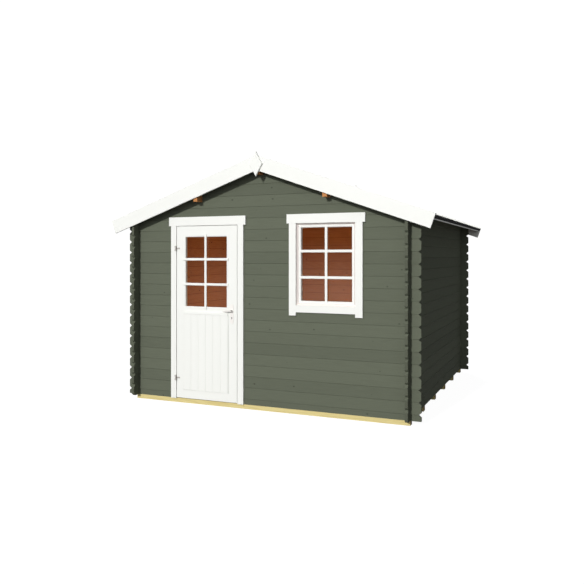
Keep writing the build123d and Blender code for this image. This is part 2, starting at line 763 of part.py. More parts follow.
# Hinges: two knuckles and the pin on the frame, and one knuckle between them on the leaf
def hinge_post(z):
    with BuildPart() as post:
        for side in (-1, 1):
            middle = z + side * (KNUCKLE_LENGTH + KNUCKLE_GAP)
            with BuildSketch(Plane.XY.offset(middle - KNUCKLE_LENGTH / 2)):
                with Locations((HINGE_PIVOT_X, HINGE_PIVOT_Y)):
                    Circle(KNUCKLE_RADIUS)
            extrude(amount=KNUCKLE_LENGTH)
            with BuildSketch(Plane.XY.offset(middle - HINGE_ARM_HEIGHT / 2)):
                with Locations((HINGE_PIVOT_X - POST_ARM_LENGTH / 2, TRIM_FRONT - HINGE_ARM_THICK / 2)):
                    Rectangle(POST_ARM_LENGTH, HINGE_ARM_THICK)
            extrude(amount=HINGE_ARM_HEIGHT)
        with BuildSketch(Plane.XY.offset(z - KNUCKLE_LENGTH)):
            with Locations((HINGE_PIVOT_X, HINGE_PIVOT_Y)):
                Circle(PIN_RADIUS)
        extrude(amount=2 * KNUCKLE_LENGTH)
    return post.part


def hinge_socket(z):
    """The leaf's knuckle, on a strap that turns out from the leaf's face."""
    strap_left = HINGE_PIVOT_X + KNUCKLE_RADIUS - HINGE_ARM_THICK
    strap_right = LEAF_LEFT + HINGE_ARM_THICK
    with BuildPart() as socket:
        with BuildSketch(Plane.XY.offset(z - KNUCKLE_LENGTH / 2)):
            with Locations((HINGE_PIVOT_X, HINGE_PIVOT_Y)):
                Circle(KNUCKLE_RADIUS)
        extrude(amount=KNUCKLE_LENGTH)
        with BuildSketch(Plane.XY.offset(z - HINGE_ARM_HEIGHT / 2)):
            with Locations((LEAF_LEFT + HINGE_ARM_LENGTH / 2, LEAF_FRONT - HINGE_ARM_THICK / 2)):
                Rectangle(HINGE_ARM_LENGTH, HINGE_ARM_THICK)
            with Locations(((strap_left + strap_right) / 2, (HINGE_PIVOT_Y + LEAF_FRONT) / 2)):
                Rectangle(strap_right - strap_left, LEAF_FRONT - HINGE_PIVOT_Y)
        extrude(amount=HINGE_ARM_HEIGHT)
        with BuildSketch(Plane.XY.offset(z - KNUCKLE_LENGTH / 2)):
            with Locations((HINGE_PIVOT_X, HINGE_PIVOT_Y)):
                Circle(PIN_RADIUS + PIN_CLEARANCE)
        extrude(amount=KNUCKLE_LENGTH, mode=Mode.SUBTRACT)
    return socket.part


save(Compound([hinge_post(z) for z in HINGE_HEIGHTS]), "hinge_posts")
save(Compound([hinge_socket(z) for z in HINGE_HEIGHTS]), "hinge_sockets")

# Handle plates, one each side of the leaf, with round ends and a keyhole
plate_middle = LEVER_HEIGHT + PLATE_ABOVE_LEVER - PLATE_HEIGHT / 2


def handle_plate(face_y):
    """A plate on the leaf's face at face_y, standing out towards the front."""
    with BuildPart() as plate:
        with BuildSketch(Plane.XZ.offset(-face_y)):
            with Locations((LEVER_X, plate_middle)):
                SlotOverall(PLATE_HEIGHT, PLATE_WIDTH, rotation=90)
            with Locations((LEVER_X, LEVER_HEIGHT)):
                Circle(NECK_RADIUS + NECK_CLEARANCE, mode=Mode.SUBTRACT)
            with Locations((LEVER_X, LEVER_HEIGHT - KEYHOLE_BELOW)):
                SlotOverall(KEYHOLE_HEIGHT, KEYHOLE_WIDTH, rotation=90, mode=Mode.SUBTRACT)
        extrude(amount=PLATE_THICK)
    return plate.part


save(Compound([handle_plate(LEAF_FRONT), handle_plate(LEAF_BACK + PLATE_THICK)]), "handle_plates")


def lever_arm(face_y, outward):
    """A neck out of the plate and a lever that points to the hinge side, a little downward."""
    droop = radians(LEVER_DROOP)
    along = (-cos(droop), 0, -sin(droop))
    neck_end = (LEVER_X, face_y + outward * NECK_LENGTH, LEVER_HEIGHT)
    with BuildPart(mode=Mode.PRIVATE) as arm:
        with BuildSketch(Plane.XZ.offset(-face_y)):
            with Locations((LEVER_X, LEVER_HEIGHT)):
                Circle(NECK_RADIUS)
        extrude(amount=-outward * (NECK_LENGTH + LEVER_RADIUS + NECK_CAP))
        with BuildSketch(Plane(origin=neck_end, z_dir=along)):
            Circle(LEVER_RADIUS)
        extrude(amount=LEVER_LENGTH)
    return arm.part


with BuildPart() as lever:
    with BuildSketch(Plane.XZ.offset(-LEAF_BACK)):
        with Locations((LEVER_X, LEVER_HEIGHT)):
            Circle(SPINDLE_RADIUS)
    extrude(amount=LEAF_THICK)
    add(lever_arm(LEAF_FRONT, -1))
    add(lever_arm(LEAF_BACK, 1))
save(lever.part, "door_lever")


# Window: a frame in the logs, a sash with one pane in it, and four trims
def rectangle_frame(left, right, bottom, top, member, front_y, depth):
    """Four members as one frame, its front at front_y."""
    with BuildPart(mode=Mode.PRIVATE) as frame:
        with BuildSketch(Plane.XZ.offset(-front_y)):
            with Locations(((left + right) / 2, (bottom + top) / 2)):
                Rectangle(right - left, top - bottom)
                Rectangle(
                    right - left - 2 * member,
                    top - bottom - 2 * member,
                    mode=Mode.SUBTRACT,
                )
        extrude(amount=-depth)
    return frame.part


sash_y = FRONT_FACE + SASH_SET
stop_y = sash_y + SASH_THICK + PANEL_FIT
frame_outside = (
    WINDOW_LEFT - WINDOW_FRAME_THICK,
    WINDOW_RIGHT + WINDOW_FRAME_THICK,
    WINDOW_SILL - WINDOW_FRAME_THICK,
    WINDOW_HEAD + WINDOW_FRAME_THICK,
)
with BuildPart() as window_frame:
    add(rectangle_frame(*frame_outside, WINDOW_FRAME_THICK, FRONT_FACE, stop_y - FRONT_FACE))
    # the stop that the sash shuts against
    stop_member = WINDOW_FRAME_THICK + STOP_WIDTH
    stop_depth = FRONT_FACE + WINDOW_FRAME_DEPTH - stop_y
    add(rectangle_frame(*frame_outside, stop_member, stop_y, stop_depth))
    # the sill is thicker, and stands on the logs
    add(
        block(
            frame_outside[:2],
            (FRONT_FACE, FRONT_FACE + WINDOW_FRAME_DEPTH),
            (WINDOW_OPENING_BOTTOM, WINDOW_SILL - WINDOW_FRAME_THICK),
        )
    )
save(window_frame.part, "window_frame")
save(
    rectangle_frame(
        WINDOW_LEFT + SASH_GAP,
        WINDOW_RIGHT - SASH_GAP,
        WINDOW_SILL + SASH_GAP,
        WINDOW_HEAD - SASH_GAP,
        SASH_WIDTH,
        sash_y,
        SASH_THICK,
    ),
    "window_sash",
)

with BuildPart() as window_glass:
    glass_margin = SASH_GAP + SASH_WIDTH + PANEL_FIT
    glass_y = sash_y + SASH_THICK / 2
    add(
        block(
            (WINDOW_LEFT + glass_margin, WINDOW_RIGHT - glass_margin),
            (glass_y - GLASS_THICK / 2, glass_y + GLASS_THICK / 2),
            (WINDOW_SILL + glass_margin, WINDOW_HEAD - glass_margin),
        )
    )
save(window_glass.part, "window_glass")

trim_foot = WINDOW_SILL - WINDOW_BOTTOM_TRIM_HEIGHT
save(
    Compound(
        [
            trim_board(
                WINDOW_LEFT - WINDOW_TRIM_WIDTH,
                WINDOW_LEFT,
                trim_foot - SIDE_TRIM_DROP,
                WINDOW_HEAD - TRIM_JOINT,
            ),
            trim_board(
                WINDOW_RIGHT,
                WINDOW_RIGHT + WINDOW_TRIM_WIDTH,
                trim_foot - SIDE_TRIM_DROP,
                WINDOW_HEAD - TRIM_JOINT,
            ),
            trim_board(
                WINDOW_LEFT + TRIM_JOINT,
                WINDOW_RIGHT - TRIM_JOINT,
                trim_foot,
                WINDOW_SILL,
            ),
            trim_board(
                WINDOW_LEFT - WINDOW_TRIM_WIDTH - HEAD_TRIM_OVERHANG,
                WINDOW_RIGHT + WINDOW_TRIM_WIDTH + HEAD_TRIM_OVERHANG,
                WINDOW_HEAD,
                WINDOW_HEAD + WINDOW_HEAD_TRIM_HEIGHT,
            ),
        ]
    ),
    "window_trims",
)
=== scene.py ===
import json
from math import cos, pi, radians, sin, tan

import bmesh
import bpy
from mathutils import Matrix, Vector, noise


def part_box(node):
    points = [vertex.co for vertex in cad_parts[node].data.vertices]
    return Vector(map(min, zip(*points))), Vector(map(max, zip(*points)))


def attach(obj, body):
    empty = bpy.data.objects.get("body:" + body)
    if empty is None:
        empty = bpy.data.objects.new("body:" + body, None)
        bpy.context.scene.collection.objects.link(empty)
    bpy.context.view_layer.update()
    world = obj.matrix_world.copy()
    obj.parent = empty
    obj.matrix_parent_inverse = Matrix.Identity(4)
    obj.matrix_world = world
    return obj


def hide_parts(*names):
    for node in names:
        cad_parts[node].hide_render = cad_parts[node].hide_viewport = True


# A small log cabin: machined wall logs stained grey-green, white joinery, a felted ridge roof.
# Metres. X runs to the right along the front, Y to the back and Z up from the ground.
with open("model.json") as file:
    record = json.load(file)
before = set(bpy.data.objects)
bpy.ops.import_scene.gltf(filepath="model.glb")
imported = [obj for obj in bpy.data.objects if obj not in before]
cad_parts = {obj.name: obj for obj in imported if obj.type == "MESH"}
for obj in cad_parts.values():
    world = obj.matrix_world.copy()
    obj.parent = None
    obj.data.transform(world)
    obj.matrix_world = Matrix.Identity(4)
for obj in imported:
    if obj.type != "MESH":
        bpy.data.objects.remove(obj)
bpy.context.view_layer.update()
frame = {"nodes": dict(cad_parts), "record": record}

MM = 0.001
LOG_COVER = 114 * MM  # one wall log's height in the wall
BEAM_HEIGHT = 45 * MM
INNER_FACE = 1.4725  # half the room's width, just outside the logs' inner faces
ROOF_ANGLE = radians(19.4)
ROOF_BOARD = 16 * MM  # thickness of the roof boards
FELT = 3 * MM  # thickness of the felt that covers them


def linear(hex_colour):
    """An sRGB hex colour as the linear values that shaders take."""
    channels = [int(hex_colour[place : place + 2], 16) / 255 for place in (1, 3, 5)]
    return [c / 12.92 if c <= 0.04045 else ((c + 0.055) / 1.055) ** 2.4 for c in channels] + [1]


def add(tree, kind, inputs=None, **settings):
    """Adds a node with its settings; an input is a value, or a socket to link to it."""
    node = tree.nodes.new(kind)
    for name, value in settings.items():
        setattr(node, name, value)
    for name, value in (inputs or {}).items():
        if isinstance(value, bpy.types.NodeSocket):
            tree.links.new(value, node.inputs[name])
        else:
            node.inputs[name].default_value = value
    return node


def finish(name, settings):
    """A material with one Principled shader; returns the material, its tree and the shader."""
    material = bpy.data.materials.new(name)
    material.use_nodes = True
    tree = material.node_tree
    shader = tree.nodes["Principled BSDF"]
    for socket, value in settings.items():
        shader.inputs[socket].default_value = value
    return material, tree, shader


AXES = {"x": 0, "y": 1, "z": 2}


def timber(name, along, across, board, tones, inside=None, knots=0.4, figure=0.5, relief=0.5):
    """Planed softwood, cut into boards.

    along and across are the axes of the grain and of a board's width, board is (start, width) of
    the boards in millimetres, and tones are the face, the late wood, the knots and the end grain.
    inside gives the tones of the faces that look into the room.
    """
    material, tree, shader = finish(name, {"Specular IOR Level": 0.1})
    depth = ({"x", "y", "z"} - {along, across}).pop()
    place = add(tree, "ShaderNodeTexCoord")
    point = add(tree, "ShaderNodeSeparateXYZ", {0: place.outputs["Object"]})
    normal = add(tree, "ShaderNodeSeparateXYZ", {0: place.outputs["Normal"]})
    start, width = board[0] * MM, board[1] * MM

    # which board this is: each has its own stretch of grain and its own shade
    number = add(
        tree,
        "ShaderNodeMath",
        {0: point.outputs[AXES[across]], 1: 1 / width, 2: -start / width},
        operation="MULTIPLY_ADD",
    )
    whole = add(tree, "ShaderNodeMath", {0: number.outputs[0]}, operation="FLOOR")
    chance = add(tree, "ShaderNodeTexWhiteNoise", {"W": whole.outputs[0]}, noise_dimensions="1D")
    slide = add(
        tree,
        "ShaderNodeMath",
        {0: chance.outputs["Value"], 1: 9.0, 2: point.outputs[AXES[along]]},
        operation="MULTIPLY_ADD",
    )
    lengthwise = add(
        tree,
        "ShaderNodeCombineXYZ",
        {0: slide.outputs[0], 1: point.outputs[AXES[across]], 2: point.outputs[AXES[depth]]},
    )

    # knots: at most one in each half metre of a board, 6 to 18 mm across
    knot_pitch = 0.45
    cells = add(
        tree,
        "ShaderNodeVectorMath",
        {0: lengthwise.outputs[0], 1: (1 / knot_pitch, 1 / width, 0)},
        operation="MULTIPLY",
    )
    knot_cell = add(
        tree,
        "ShaderNodeTexVoronoi",
        {"Vector": cells.outputs[0], "Scale": 1.0, "Randomness": 0.8},
        voronoi_dimensions="2D",
    )
    apart = add(
        tree,
        "ShaderNodeVectorMath",
        {0: cells.outputs[0], 1: knot_cell.outputs["Position"]},
        operation="SUBTRACT",
    )
    apart = add(
        tree,
        "ShaderNodeVectorMath",
        {0: apart.outputs[0], 1: (knot_pitch * 0.75, width, 0)},
        operation="MULTIPLY",
    )
    apart = add(tree, "ShaderNodeVectorMath", {0: apart.outputs[0]}, operation="LENGTH")
    lot = add(tree, "ShaderNodeSeparateColor", {0: knot_cell.outputs["Color"]})
    radius = add(
        tree, "ShaderNodeMapRange", {0: lot.outputs[0], 1: 1 - knots, 2: 1.0, 3: 0.0001, 4: 9 * MM}
    )
    ratio = add(
        tree,
        "ShaderNodeMath",
        {0: apart.outputs["Value"], 1: radius.outputs[0]},
        operation="DIVIDE",
    )
    knot = add(tree, "ShaderNodeMapRange", {0: ratio.outputs[0], 1: 1.15, 2: 0.75, 3: 0.0, 4: 1.0})
    swirl = add(tree, "ShaderNodeMapRange", {0: ratio.outputs[0], 1: 5.0, 2: 1.0, 3: 0.0, 4: 0.1})

    # year rings: contour lines of a field drawn out along the grain, bent round the knots
    drawn = add(
        tree,
        "ShaderNodeVectorMath",
        {0: lengthwise.outputs[0], 1: (0.7, 9, 9)},
        operation="MULTIPLY",
    )
    field = add(
        tree,
        "ShaderNodeTexNoise",
        {"Vector": drawn.outputs[0], "Scale": 1.0, "Detail": 2.0, "Roughness": 0.4},
    )
    bent = add(
        tree, "ShaderNodeMath", {0: field.outputs["Fac"], 1: swirl.outputs[0]}, operation="ADD"
    )
    wave = add(tree, "ShaderNodeMath", {0: bent.outputs[0], 1: 95.0}, operation="MULTIPLY")
    wave = add(tree, "ShaderNodeMath", {0: wave.outputs[0]}, operation="SINE")
    rings = add(
        tree, "ShaderNodeMapRange", {0: wave.outputs[0], 1: -0.4, 2: 1.0, 3: 0.0, 4: figure}
    )
    stretched = add(
        tree,
        "ShaderNodeVectorMath",
        {0: lengthwise.outputs[0], 1: (7, 260, 260)},
        operation="MULTIPLY",
    )
    fibre = add(
        tree, "ShaderNodeTexNoise", {"Vector": stretched.outputs[0], "Scale": 1.0, "Detail": 3.0}
    )

    # end grain: rings about a heart that lies outside the board
    heart = add(
        tree,
        "ShaderNodeVectorMath",
        {0: lengthwise.outputs[0], 1: (0, 1.2 * width, 0.03)},
        operation="MODULO",
    )
    heart = add(
        tree, "ShaderNodeVectorMath", {0: heart.outputs[0], 1: (0, 1, 1)}, operation="MULTIPLY"
    )
    heart = add(tree, "ShaderNodeVectorMath", {0: heart.outputs[0]}, operation="LENGTH")
    year = add(
        tree,
        "ShaderNodeMath",
        {0: heart.outputs["Value"], 1: 2 * pi / (4 * MM)},
        operation="MULTIPLY",
    )
    year = add(tree, "ShaderNodeMath", {0: year.outputs[0]}, operation="SINE")
    year = add(tree, "ShaderNodeMapRange", {0: year.outputs[0], 1: -1.0, 2: 1.0, 3: 0.85, 4: 1.05})
    facing = add(
        tree, "ShaderNodeMath", {0: normal.outputs[AXES[along]]}, operation="ABSOLUTE"
    )
    is_end = add(
        tree, "ShaderNodeMath", {0: facing.outputs[0], 1: 0.75}, operation="GREATER_THAN"
    )

    def shade(colours):
        """The wood's colour in one set of tones."""
        face, late, dark, end = [linear(tone) for tone in colours]
        mixed = add(
            tree, "ShaderNodeMix", {0: rings.outputs[0], 6: face, 7: late}, data_type="RGBA"
        )
        mixed = add(
            tree,
            "ShaderNodeMix",
            {0: knot.outputs[0], 6: mixed.outputs[2], 7: dark},
            data_type="RGBA",
        )
        cut = add(
            tree, "ShaderNodeVectorMath", {0: end[:3], 1: year.outputs[0]}, operation="MULTIPLY"
        )
        return add(
            tree,
            "ShaderNodeMix",
            {0: is_end.outputs[0], 6: mixed.outputs[2], 7: cut.outputs[0]},
            data_type="RGBA",
        )

    colour = shade(tones)
    if inside:
        # the logs' inner faces meet flush, with a hair line between them, drawn 5 mm wide to show
        part = add(tree, "ShaderNodeMath", {0: number.outputs[0]}, operation="FRACT")
        joint = add(
            tree, "ShaderNodeMath", {0: part.outputs[0], 1: 5 * MM / width}, operation="LESS_THAN"
        )
        line = add(tree, "ShaderNodeMapRange", {0: joint.outputs[0], 3: 1.0, 4: 0.55})
        bare = add(
            tree,
            "ShaderNodeVectorMath",
            {0: shade(inside).outputs[2], 1: line.outputs[0]},
            operation="MULTIPLY",
        )
        sizes = add(
            tree,
            "ShaderNodeVectorMath",
            {0: place.outputs["Object"]},
            operation="ABSOLUTE",
        )
        sizes = add(tree, "ShaderNodeSeparateXYZ", {0: sizes.outputs[0]})
        larger = add(
            tree, "ShaderNodeMath", {0: sizes.outputs[0], 1: sizes.outputs[1]}, operation="MAXIMUM"
        )
        in_room = add(
            tree, "ShaderNodeMath", {0: larger.outputs[0], 1: INNER_FACE}, operation="LESS_THAN"
        )
        colour = add(
            tree,
            "ShaderNodeMix",
            {0: in_room.outputs[0], 6: colour.outputs[2], 7: bare.outputs[0]},
            data_type="RGBA",
        )
    tone = add(
        tree, "ShaderNodeMapRange", {0: chance.outputs["Value"], 1: 0.0, 2: 1.0, 3: 0.94, 4: 1.05}
    )
    streak = add(
        tree,
        "ShaderNodeMapRange",
        {0: fibre.outputs["Fac"], 1: 0.3, 2: 0.7, 3: 0.95, 4: 1.04},
    )
    tone = add(
        tree, "ShaderNodeMath", {0: tone.outputs[0], 1: streak.outputs[0]}, operation="MULTIPLY"
    )
    final = add(
        tree,
        "ShaderNodeVectorMath",
        {0: colour.outputs[2], 1: tone.outputs[0]},
        operation="MULTIPLY",
    )
    tree.links.new(final.outputs[0], shader.inputs["Base Color"])

    dull = add(
        tree, "ShaderNodeMapRange", {0: fibre.outputs["Fac"], 1: 0.3, 2: 0.7, 3: 0.72, 4: 0.86}
    )
    tree.links.new(dull.outputs[0], shader.inputs["Roughness"])
    height = add(
        tree,
        "ShaderNodeMath",
        {0: rings.outputs[0], 1: 0.5, 2: fibre.outputs["Fac"]},
        operation="MULTIPLY_ADD",
    )
    raised = add(
        tree,
        "ShaderNodeBump",
        {"Height": height.outputs[0], "Strength": relief, "Distance": 0.5 * MM},
    )
    tree.links.new(raised.outputs[0], shader.inputs["Normal"])
    return material


# Spruce logs under a thin grey-green stain: matt, knots and joints a shade darker; the room side
# is bare wood that has turned brown
STAIN = ("#5F6456", "#595D50", "#4C5045", "#575B4E")
BARE = ("#AE774E", "#966039", "#2E160C", "#A26C45")
# Fresh planed pine: pale yellow, amber late wood, brown knots
PINE = ("#E3BD85", "#CF9C5E", "#7E4A22", "#E6BF86")
# The purlins' pine, out in the light for longer: orange brown
WEATHERED = ("#C48A58", "#AE7040", "#6E3C1C", "#C08452")
# Pressure-treated pine: yellow with a green cast, and dark sawn ends
TREATED = ("#DACB90", "#C9B578", "#7E6236", "#8E7248")

front_joint = (BEAM_HEIGHT + LOG_COVER / 2) / MM
side_joint = BEAM_HEIGHT / MM
cover = LOG_COVER / MM
stained_along_x = timber("stained spruce logs, front and back", "x", "z", (front_joint, cover),
                         STAIN, BARE, knots=0.6, figure=0.25, relief=0.3)
stained_along_y = timber("stained spruce logs, sides", "y", "z", (side_joint, cover), STAIN, BARE,
                         knots=0.6, figure=0.25, relief=0.3)
pine_beams = timber("planed pine purlins", "y", "x", (-600, 400), WEATHERED, knots=0.8)
FLOOR_BOARD = 95  # millimetres of floor that one board covers
pine_floor = timber("planed pine floor boards", "y", "x", (0, FLOOR_BOARD), PINE, knots=0.8)
ROOF_BOARD_WIDTH = 88.9  # millimetres of roof that one board covers
pine_roof = timber("planed pine roof boards", "x", "y", (0, ROOF_BOARD_WIDTH), BARE, knots=0.7)
treated_pine = timber("pressure-treated pine beams", "x", "y", (-1500, 586), TREATED, knots=0.9)


def white_paint(name, along, across, tones=("#E6E7E3", "#EAEBE7")):
    """White microporous paint, brushed on pine: satin, with the grain just showing through."""
    material, tree, shader = finish(
        name, {"Specular IOR Level": 0.3, "Coat Weight": 0.03, "Coat Roughness": 0.3}
    )
    place = add(tree, "ShaderNodeTexCoord")
    scale = [70.0, 70.0, 70.0]
    scale[AXES[along]] = 3.0
    scale[AXES[across]] = 240.0  # brush marks about 4 mm apart
    brushed = add(
        tree,
        "ShaderNodeVectorMath",
        {0: place.outputs["Object"], 1: scale},
        operation="MULTIPLY",
    )
    marks = add(
        tree, "ShaderNodeTexNoise", {"Vector": brushed.outputs[0], "Scale": 1.0, "Detail": 2.0}
    )
    patches = add(
        tree, "ShaderNodeTexNoise", {"Vector": place.outputs["Object"], "Scale": 3.0, "Detail": 3.0}
    )
    worn = add(
        tree,
        "ShaderNodeMix",
        {0: patches.outputs["Fac"], 6: linear(tones[0]), 7: linear(tones[1])},
        data_type="RGBA",
    )
    tree.links.new(worn.outputs[2], shader.inputs["Base Color"])
    gloss = add(
        tree, "ShaderNodeMapRange", {0: marks.outputs["Fac"], 1: 0.3, 2: 0.7, 3: 0.38, 4: 0.5}
    )
    tree.links.new(gloss.outputs[0], shader.inputs["Roughness"])
    raised = add(
        tree,
        "ShaderNodeBump",
        {"Height": marks.outputs["Fac"], "Strength": 0.25, "Distance": 0.2 * MM},
    )
    tree.links.new(raised.outputs[0], shader.inputs["Normal"])
    return material


white_upright = white_paint("white painted pine, upright", "z", "x")
white_level = white_paint("white painted pine, level", "x", "z")
white_front_to_back = white_paint("white painted pine, front to back", "y", "z")
# the strips that line the window get a lighter, warmer white: painted warm bounce light, which
# brightens them where they stand in shade
white_lining_painted_bounce = white_paint("white painted pine, window lining", "z", "x", ("#F4EBE6", "#FAF1ED"))


def mineral_felt():
    """Bitumen roofing felt with black mineral grit: dull, faintly speckled, a little uneven."""
    material, tree, shader = finish("bitumen felt with mineral grit", {"Specular IOR Level": 0.2})
    place = add(tree, "ShaderNodeTexCoord")
    # grit is about 1 mm; drawn as 3 mm so that it shows
    grit = add(
        tree,
        "ShaderNodeTexVoronoi",
        {"Vector": place.outputs["Object"], "Scale": 1 / (3 * MM)},
    )
    speck = add(tree, "ShaderNodeSeparateColor", {0: grit.outputs["Color"]})
    drift = add(
        tree, "ShaderNodeTexNoise", {"Vector": place.outputs["Object"], "Scale": 2.5, "Detail": 4.0}
    )
    amount = add(
        tree,
        "ShaderNodeMath",
        {0: speck.outputs[0], 1: drift.outputs["Fac"]},
        operation="MULTIPLY",
    )
    mixed = add(
        tree,
        "ShaderNodeMix",
        {0: amount.outputs[0], 6: linear("#100F11"), 7: linear("#3B393C")},
        data_type="RGBA",
    )
    tree.links.new(mixed.outputs[2], shader.inputs["Base Color"])
    dull = add(tree, "ShaderNodeMapRange", {0: speck.outputs[1], 3: 0.82, 4: 0.98})
    tree.links.new(dull.outputs[0], shader.inputs["Roughness"])
    raised = add(
        tree,
        "ShaderNodeBump",
        {"Height": grit.outputs["Distance"], "Strength": 0.6, "Distance": 0.8 * MM},
    )
    tree.links.new(raised.outputs[0], shader.inputs["Normal"])
    return material


def plated_metal(name, colour, low, high, bare=1.0):
    """Plated steel, brushed and a little handled: its gloss varies in fine streaks.

    bare is how much of the metal shows through its clear coating.
    """
    material, tree, shader = finish(name, {"Metallic": bare, "Base Color": linear(colour)})
    place = add(tree, "ShaderNodeTexCoord")
    brushed = add(
        tree,
        "ShaderNodeVectorMath",
        {0: place.outputs["Object"], 1: (1400, 1400, 60)},
        operation="MULTIPLY",
    )
    marks = add(
        tree, "ShaderNodeTexNoise", {"Vector": brushed.outputs[0], "Scale": 1.0, "Detail": 2.0}
    )
    gloss = add(
        tree, "ShaderNodeMapRange", {0: marks.outputs["Fac"], 1: 0.3, 2: 0.7, 3: low, 4: high}
    )
    tree.links.new(gloss.outputs[0], shader.inputs["Roughness"])
    return material


def float_glass():
    """Clear float glass, 4 mm: mirrors the pale ground at a slant, a trace of ripple."""
    material, tree, shader = finish(
        "clear float glass",
        {"Transmission Weight": 1.0, "IOR": 1.5, "Roughness": 0.0, "Base Color": linear("#F7FBF9")},
    )
    place = add(tree, "ShaderNodeTexCoord")
    ripple = add(
        tree, "ShaderNodeTexNoise", {"Vector": place.outputs["Object"], "Scale": 6.0, "Detail": 1.0}
    )
    raised = add(
        tree,
        "ShaderNodeBump",
        {"Height": ripple.outputs["Fac"], "Strength": 0.05, "Distance": 1 * MM},
    )
    tree.links.new(raised.outputs[0], shader.inputs["Normal"])
    return material


felt_finish = mineral_felt()
nickel = plated_metal("satin nickel plated steel", "#ECE9E5", 0.32, 0.48, bare=0.2)
dull_nickel = plated_metal("worn nickel on hinge steel", "#B9B6B0", 0.4, 0.55, bare=0.5)
brass = plated_metal("brass-passivated steel", "#A8965A", 0.35, 0.5)
galvanised = plated_metal("galvanised steel nails", "#8D8F8F", 0.45, 0.6)
dark_steel_painted_shade = plated_metal("oiled steel inside the lock", "#5E5752", 0.4, 0.6)
glass = float_glass()

FINISHES = {
    stained_along_x: ("front_logs_even", "front_logs_odd", "back_logs_even", "back_logs_odd"),
    stained_along_y: ("left_logs_even", "left_logs_odd", "right_logs_even", "right_logs_odd"),
    pine_beams: ("ridge_purlin", "side_purlins"),
    pine_floor: ("floor_deck",),
    pine_roof: ("roof_boards_left", "roof_boards_right"),
    treated_pine: ("floor_beams",),
    felt_finish: ("roof_felt_left", "roof_felt_right"),
    white_upright: (
        "door_jamb_left", "door_jamb_right", "door_stile_left", "door_stile_right", "door_panel",
        "finial_front", "finial_back", "window_trims", "door_trims", "window_sash", "window_frame",
    ),
    white_level: (
        "barge_left_front", "barge_left_back", "barge_right_front", "barge_right_back",
        "verge_strips_front", "verge_strips_back", "door_frame_head", "door_threshold",
        "door_rails",
    ),
    white_front_to_back: ("eave_battens",),
    glass: ("door_glass", "window_glass"),
    dull_nickel: ("hinge_posts", "hinge_sockets"),
    nickel: ("handle_plates", "door_lever"),
    brass: ("lock_forend", "strike_plate"),
}
for look, names in FINISHES.items():
    for name in names:
        node = frame["nodes"][name]
        node.data.materials.clear()
        node.data.materials.append(look)


# Pieces
def piece(name, shape, look, body, rounding=0.0):
    """Turns a bmesh into an object that rides on a body; rounding eases its sharp edges."""
    bmesh.ops.recalc_face_normals(shape, faces=shape.faces)
    mesh = bpy.data.meshes.new(name)
    shape.to_mesh(mesh)
    shape.free()
    mesh.materials.append(look)
    made = bpy.data.objects.new(name, mesh)
    bpy.context.scene.collection.objects.link(made)
    if rounding:
        eased = made.modifiers.new("eased edges", "BEVEL")
        eased.width = rounding
        eased.segments = 2
        eased.limit_method = "ANGLE"
    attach(made, body)
    return made


def prism(shape, outline, start, end, place):
    """Carries a closed outline from start to end; place turns (across, out, along) into a point.

    start and end are functions of a point of the outline, so that an end can be mitred.
    """
    rings = [
        [shape.verts.new(place(across, out, limit(across, out))) for across, out in outline]
        for limit in (start, end)
    ]
    count = len(outline)
    for i in range(count):
        after = (i + 1) % count
        shape.faces.new((rings[0][i], rings[0][after], rings[1][after], rings[1][i]))
    shape.faces.new(rings[0])
    shape.faces.new(rings[1])


def moulded_frame(shape, outside, profile, face):
    """A mitred frame round an opening; profile points are (in from its edge, out from the face)."""
    left, right, bottom, top = outside
    loops = []
    for inset, out in profile:
        corners = (
            (left + inset, bottom + inset),
            (right - inset, bottom + inset),
            (right - inset, top - inset),
            (left + inset, top - inset),
        )
        loops.append([shape.verts.new((x, face - out, z)) for x, z in corners])
    for loop, following in zip(loops, loops[1:] + loops[:1]):
        for corner in range(4):
            after = (corner + 1) % 4
            shape.faces.new((loop[corner], loop[after], following[after], following[corner]))


def bar_outline(width, foot, front):
    """A glazing bar's outline: square sides, then an ovolo up to a flat front."""
    half = width / 2
    shoulder = half * 0.72
    return [
        (-half, foot),
        (-half, front * 0.45),
        (-half * 0.93, front * 0.75),
        (-shoulder, front),
        (shoulder, front),
        (half * 0.93, front * 0.75),
        (half, front * 0.45),
        (half, foot),
    ]


def glazing_grid(name, body, outside, face, foot, front, rows=3):
    """Glazing bars over a pane: one upright and two level ones, equally spaced along their length.

    outside is the grid's outer edges, face the plane that it lies on, foot how deep the bars reach
    behind it and front how far they stand out.
    """
    left, right, bottom, top = outside
    width = 27 * MM
    shape = bmesh.new()
    outline = bar_outline(width, -foot, front)
    middle = (left + right) / 2
    prism(
        shape,
        outline,
        lambda across, out: bottom + max(out, 0) * 0.5,
        lambda across, out: top - max(out, 0) * 0.5,
        lambda across, out, along: (middle + across, face - out, along),
    )
    pitch = (top - bottom) / rows
    level_front = front - 0.4 * MM
    outline = bar_outline(width, -foot, level_front)
    for row in range(1, rows):
        height = bottom + row * pitch
        prism(
            shape,
            outline,
            lambda across, out: left + max(out, 0) * 0.5,
            lambda across, out: right - max(out, 0) * 0.5,
            lambda across, out, along: (along, face - out, height + across),
        )
    return piece(name, shape, white_level, body, 0.6 * MM)


def box_of(name):
    """A node's lowest and highest corners, as two vectors."""
    low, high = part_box(name)
    return Vector(low), Vector(high)


